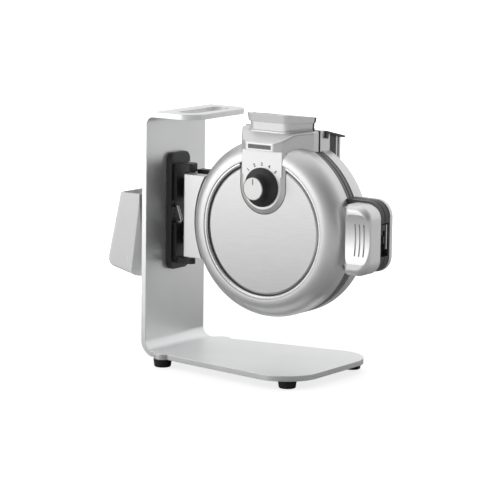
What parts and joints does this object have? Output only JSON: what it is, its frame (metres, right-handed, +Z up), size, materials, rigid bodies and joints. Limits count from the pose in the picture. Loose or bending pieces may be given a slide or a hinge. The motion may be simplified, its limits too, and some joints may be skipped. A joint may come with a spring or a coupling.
{
  "type": "waffle maker",
  "caption": "Upright waffle maker on a bent plate stand: round iron with a pouring mouth on top, hinged front half, dial, latch and a hook-on measuring cup.",
  "frame": {"origin": "middle of the plan outline, at the level of the feet's undersides", "axes": "+X from the measuring cup and the column towards the handles, +Y from the dial towards the back half, +Z up"},
  "size_m": [0.4006, 0.1944, 0.3426],
  "materials": {
    "stand_metal": "fine satin, like bead-blasted and clear-coated sheet",
    "silver_body": "silver paint, satin",
    "silver_trim": "silver paint, smoother",
    "brushed_disc": "brushed level",
    "black_plastic": "fine grain",
    "rim_grey": "smooth dark grey",
    "knob_black": "soft satin",
    "knob_cap": "spun face",
    "smoked_lens": "smoked, glossy",
    "clear_plastic": "clear, slightly frosted",
    "rubber": "matt",
    "cord_rubber": "matt",
    "screw_steel": "bright",
    "heater_steel": "heat-stained",
    "shield_aluminium": "plain sheet",
    "nonstick_plate": "cast, black non-stick coating",
    "inner_plastic": "plain"
  },
  "bodies": {
    "stand": {"back_plate": "black_plastic", "bracket_screw_1": "screw_steel", "bracket_screw_2": "screw_steel", "bracket_screw_3": "screw_steel", "bracket_screw_4": "screw_steel", "cord_block": "black_plastic", "cord_bushing": "cord_rubber", "foot_front_far": "rubber", "foot_front_near": "rubber", "foot_rear_far": "rubber", "foot_rear_near": "rubber", "foot_screw_front_far": "screw_steel", "foot_screw_front_near": "screw_steel", "foot_screw_rear_far": "screw_steel", "foot_screw_rear_near": "screw_steel", "hinge_bracket": "black_plastic", "hinge_pin": "screw_steel", "hinge_wire": "screw_steel", "rear_handle": "silver_body", "rear_handle_liner": "black_plastic", "rear_handle_screw_1": "screw_steel", "rear_handle_screw_2": "screw_steel", "rear_heat_shield": "shield_aluminium", "rear_heater": "heater_steel", "rear_hinge_arm": "black_plastic", "rear_hopper": "silver_body", "rear_neck": "silver_body", "rear_neck_seal": "black_plastic", "rear_rim": "rim_grey", "rear_shell": "silver_body", "rear_steel_disc": "brushed_disc", "rear_trim_ring": "silver_trim", "rear_waffle_grid": "nonstick_plate", "rear_waffle_plate": "nonstick_plate", "stand_frame": "stand_metal"},
    "front_half": {"front_handle": "silver_body", "front_handle_liner": "black_plastic", "front_handle_screw_1": "screw_steel", "front_handle_screw_2": "screw_steel", "front_heat_shield": "shield_aluminium", "front_heater": "heater_steel", "front_hinge_arm": "black_plastic", "front_hinge_cover": "silver_body", "front_hopper": "silver_body", "front_neck": "silver_body", "front_neck_seal": "black_plastic", "front_rim": "rim_grey", "front_shell": "silver_body", "front_steel_disc": "brushed_disc", "front_trim_ring": "silver_trim", "front_waffle_grid": "nonstick_plate", "front_waffle_plate": "nonstick_plate", "indicator_lens": "smoked_lens", "thermostat": "inner_plastic"},
    "knob": {"knob": "knob_black", "knob_cap": "knob_cap", "knob_shaft": "screw_steel"},
    "latch": {"latch_slider": "black_plastic", "latch_bar": "screw_steel"},
    "cup": {"measuring_cup": "clear_plastic"}
  },
  "joints": [
    {"name": "front_hinge", "type": "hinge", "parent": "stand", "child": "front_half", "pos_m": [-0.09867, -0.008, 0.1975], "axis": [0, 0, -1], "range_deg": [0, 75]},
    {"name": "dial_turn", "type": "hinge", "parent": "front_half", "child": "knob", "pos_m": [0.04033, -0.046, 0.2487], "axis": [0, 1, 0], "range_deg": [-50, 50]},
    {"name": "latch_slide", "type": "slide", "parent": "stand", "child": "latch", "axis": [0, 0, -1], "range_m": [0, 0.007]},
    {"name": "cup_lift", "type": "slide", "parent": "stand", "child": "cup", "axis": [0, 0, 1], "range_m": [0, 0.06]}
  ]
}
